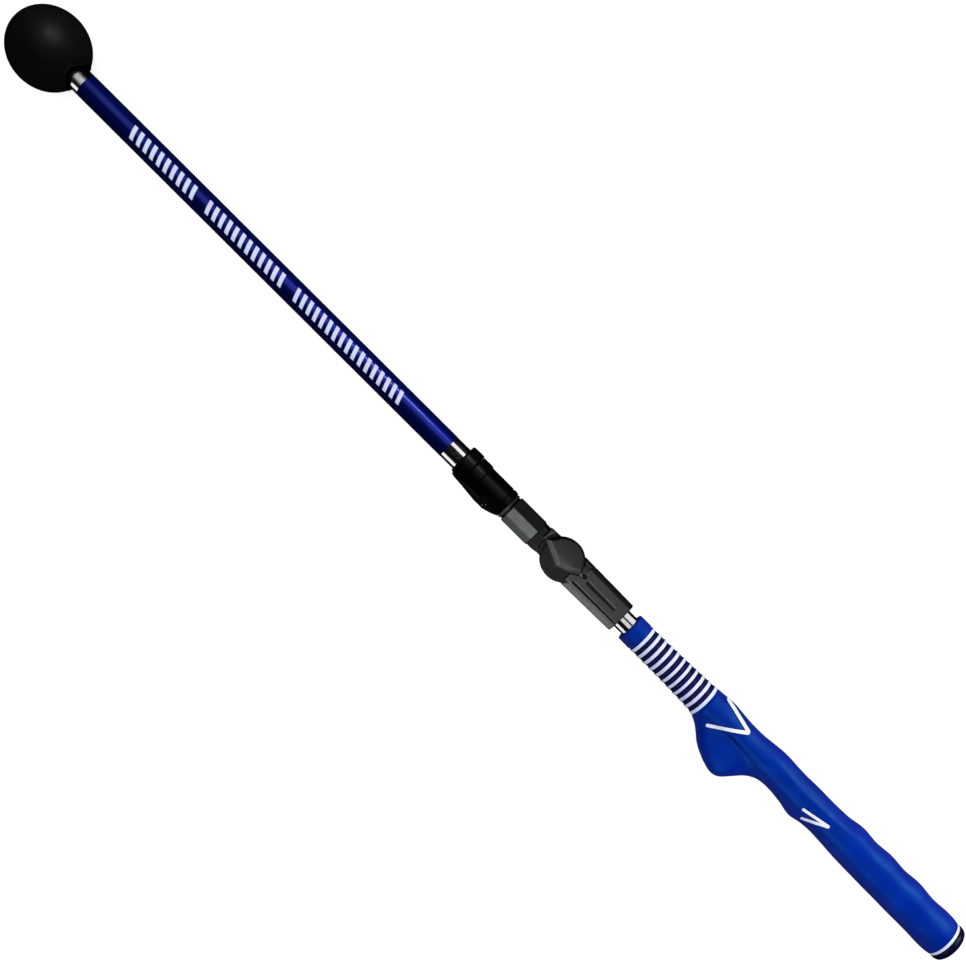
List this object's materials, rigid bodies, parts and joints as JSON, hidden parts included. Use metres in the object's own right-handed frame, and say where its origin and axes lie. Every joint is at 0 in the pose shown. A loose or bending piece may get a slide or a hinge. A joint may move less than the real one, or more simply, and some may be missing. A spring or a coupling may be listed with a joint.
{
  "type": "golf swing trainer stick",
  "caption": "Straight golf swing trainer with a moulded training grip, a folding friction hinge, telescoping steel tubes locked by a flip-lever clamp, and a weighted ball head.",
  "frame": {"origin": "centre of the grip's flat butt face", "axes": "+X along the stick from the butt to the ball, +Z along the folding hinge's axis towards its raised front plate, +Y to the side of the grip's lobe and the clamp's lever"},
  "size_m": [0.79, 0.0528, 0.0496],
  "materials": {
    "blue_rubber": "moulded satin royal-blue rubber with white painted rings and chevrons",
    "dark_blue_rubber": "moulded satin dark-blue rubber",
    "chrome": "bright chrome plate",
    "navy_lacquer": "glossy navy-blue lacquer over chromed steel, bare chrome at both ends",
    "steel": "zinc-plated",
    "grey_plastic": "satin dark-grey moulded plastic",
    "bumper_rubber": "dark-grey rubber",
    "nylon": "natural nylon",
    "black_gloss": "glossy black moulded plastic",
    "black_matte": "matte black rubber"
  },
  "bodies": {
    "grip": {"grip_sleeve": "blue_rubber", "butt_cap": "dark_blue_rubber", "lower_tube": "chrome", "hinge_lower_arm": "grey_plastic", "lower_arm_pin": "steel", "pivot_bolt": "steel", "pivot_nut": "steel", "disc_spring": "steel", "friction_washer_front": "nylon", "friction_washer_rear": "nylon"},
    "upper_link": {"hinge_upper_arm": "grey_plastic", "pivot_bush": "nylon", "upper_arm_pin": "steel", "inner_tube": "chrome", "bumper_washer": "bumper_rubber"},
    "tube_guide": {"guide_bush": "nylon"},
    "extension": {"outer_tube": "navy_lacquer", "guide_liner": "nylon", "clamp_body": "black_gloss", "clamp_collar": "black_gloss", "clamp_pad": "nylon", "lever_pin": "steel", "ball_cover": "black_matte", "ball_weight": "steel", "ball_end_plug": "nylon", "ball_screw": "steel"},
    "lever": {"clamp_lever": "black_gloss"}
  },
  "joints": [
    {"name": "fold_hinge", "type": "hinge", "parent": "grip", "child": "upper_link", "pos_m": [0.3287, 0, 0], "axis": [0, 0, 1], "range_deg": [0, 115]},
    {"name": "tube_twist", "type": "hinge", "parent": "upper_link", "child": "tube_guide", "pos_m": [0.7, 0, 0], "axis": [1, 0, 0], "continuous": true},
    {"name": "telescope_slide", "type": "slide", "parent": "tube_guide", "child": "extension", "axis": [1, 0, 0], "range_m": [0, 0.31]},
    {"name": "clamp_lever_hinge", "type": "hinge", "parent": "extension", "child": "lever", "pos_m": [0.385, 0.01, 0], "axis": [0, 0, 1], "range_deg": [0, 120]}
  ]
}
